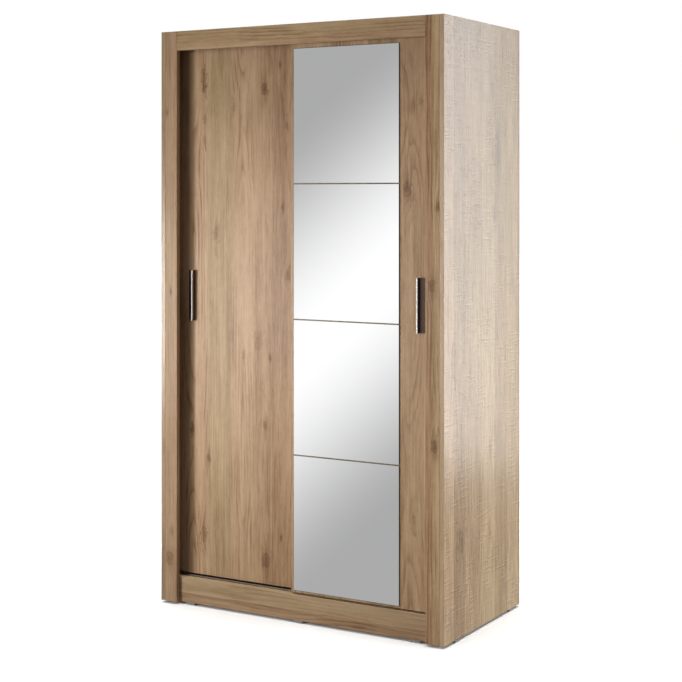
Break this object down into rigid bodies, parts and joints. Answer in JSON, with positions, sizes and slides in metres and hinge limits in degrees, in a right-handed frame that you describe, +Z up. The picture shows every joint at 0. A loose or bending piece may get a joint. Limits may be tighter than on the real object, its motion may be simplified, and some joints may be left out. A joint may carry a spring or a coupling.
{
  "type": "sliding door wardrobe",
  "caption": "Free-standing wardrobe with bypassing sliding doors, one faced with mirror tiles, over a shelf bay and a hanging bay.",
  "frame": {"origin": "On the floor, under the middle of the wardrobe's footprint.", "axes": "+X to the right seen from the front, +Y from the front to the back, +Z up. The doors face -Y."},
  "size_m": [1.2, 0.62, 2.155],
  "materials": {
    "oak_board": "oak decor on board, vertical grain, satin",
    "back_board": "thin pale hardboard, matt",
    "mirror_glass": "silvered float glass, polished",
    "bronze_handle": "satin bronze coated metal",
    "satin_aluminium": "satin anodised extrusion",
    "chromed_steel": "bright chromed tube",
    "plated_steel": "zinc plated",
    "black_plastic": "moulded, fine grain",
    "white_nylon": "moulded nylon, slightly waxy"
  },
  "bodies": {
    "cabinet": {"side_panel_left": "oak_board", "side_panel_right": "oak_board", "stile_left": "oak_board", "stile_right": "oak_board", "fascia_top": "oak_board", "top_panel": "oak_board", "bottom_panel": "oak_board", "plinth_front": "oak_board", "plinth_rear": "oak_board", "partition": "oak_board", "back_panel_left": "back_board", "back_panel_right": "back_board", "foot_front_left": "black_plastic", "foot_front_middle": "black_plastic", "foot_front_right": "black_plastic", "foot_rear_left": "black_plastic", "foot_rear_middle": "black_plastic", "foot_rear_right": "black_plastic", "foot_side_left_front": "black_plastic", "foot_side_left_rear": "black_plastic", "foot_side_right_front": "black_plastic", "foot_side_right_rear": "black_plastic", "shelf_1": "oak_board", "shelf_2": "oak_board", "shelf_3": "oak_board", "shelf_4": "oak_board", "hat_shelf": "oak_board", "hanging_rail": "chromed_steel", "rail_socket_left": "plated_steel", "rail_socket_right": "plated_steel", "bottom_track": "satin_aluminium", "top_track": "satin_aluminium", "track_stop_front_left": "black_plastic", "track_stop_front_right": "black_plastic", "track_stop_rear_left": "black_plastic", "track_stop_rear_right": "black_plastic"},
    "door_left": {"door_panel_left": "oak_board", "handle_left": "bronze_handle", "roller_housing_left_inner": "black_plastic", "roller_housing_left_outer": "black_plastic", "roller_axle_left_inner": "plated_steel", "roller_axle_left_outer": "plated_steel", "top_guide_left_inner": "black_plastic", "top_guide_left_outer": "black_plastic"},
    "door_right": {"door_panel_right": "oak_board", "mirror_tile_1": "mirror_glass", "mirror_tile_2": "mirror_glass", "mirror_tile_3": "mirror_glass", "mirror_tile_4": "mirror_glass", "handle_right": "bronze_handle", "roller_housing_right_inner": "black_plastic", "roller_housing_right_outer": "black_plastic", "roller_axle_right_inner": "plated_steel", "roller_axle_right_outer": "plated_steel", "top_guide_right_inner": "black_plastic", "top_guide_right_outer": "black_plastic"},
    "wheel_left_inner": {"roller_wheel_left_inner": "white_nylon"},
    "wheel_left_outer": {"roller_wheel_left_outer": "white_nylon"},
    "wheel_right_inner": {"roller_wheel_right_inner": "white_nylon"},
    "wheel_right_outer": {"roller_wheel_right_outer": "white_nylon"}
  },
  "joints": [
    {"name": "left_door_slide", "type": "slide", "parent": "cabinet", "child": "door_left", "axis": [1, 0, 0], "range_m": [0, 0.544]},
    {"name": "right_door_slide", "type": "slide", "parent": "cabinet", "child": "door_right", "axis": [1, 0, 0], "range_m": [-0.544, 0]},
    {"name": "left_inner_wheel_spin", "type": "hinge", "parent": "door_left", "child": "wheel_left_inner", "pos_m": [-0.026, -0.2178, 0.1181], "axis": [0, 1, 0], "continuous": true},
    {"name": "left_outer_wheel_spin", "type": "hinge", "parent": "door_left", "child": "wheel_left_outer", "pos_m": [-0.518, -0.2178, 0.1181], "axis": [0, 1, 0], "continuous": true},
    {"name": "right_inner_wheel_spin", "type": "hinge", "parent": "door_right", "child": "wheel_right_inner", "pos_m": [0.026, -0.259, 0.1181], "axis": [0, 1, 0], "continuous": true},
    {"name": "right_outer_wheel_spin", "type": "hinge", "parent": "door_right", "child": "wheel_right_outer", "pos_m": [0.518, -0.259, 0.1181], "axis": [0, 1, 0], "continuous": true}
  ],
  "couplings": [
    {"joint": "left_inner_wheel_spin", "follows": "left_door_slide", "rad_per_m": 90.909},
    {"joint": "left_outer_wheel_spin", "follows": "left_door_slide", "rad_per_m": 90.909},
    {"joint": "right_inner_wheel_spin", "follows": "right_door_slide", "rad_per_m": 90.909},
    {"joint": "right_outer_wheel_spin", "follows": "right_door_slide", "rad_per_m": 90.909}
  ]
}
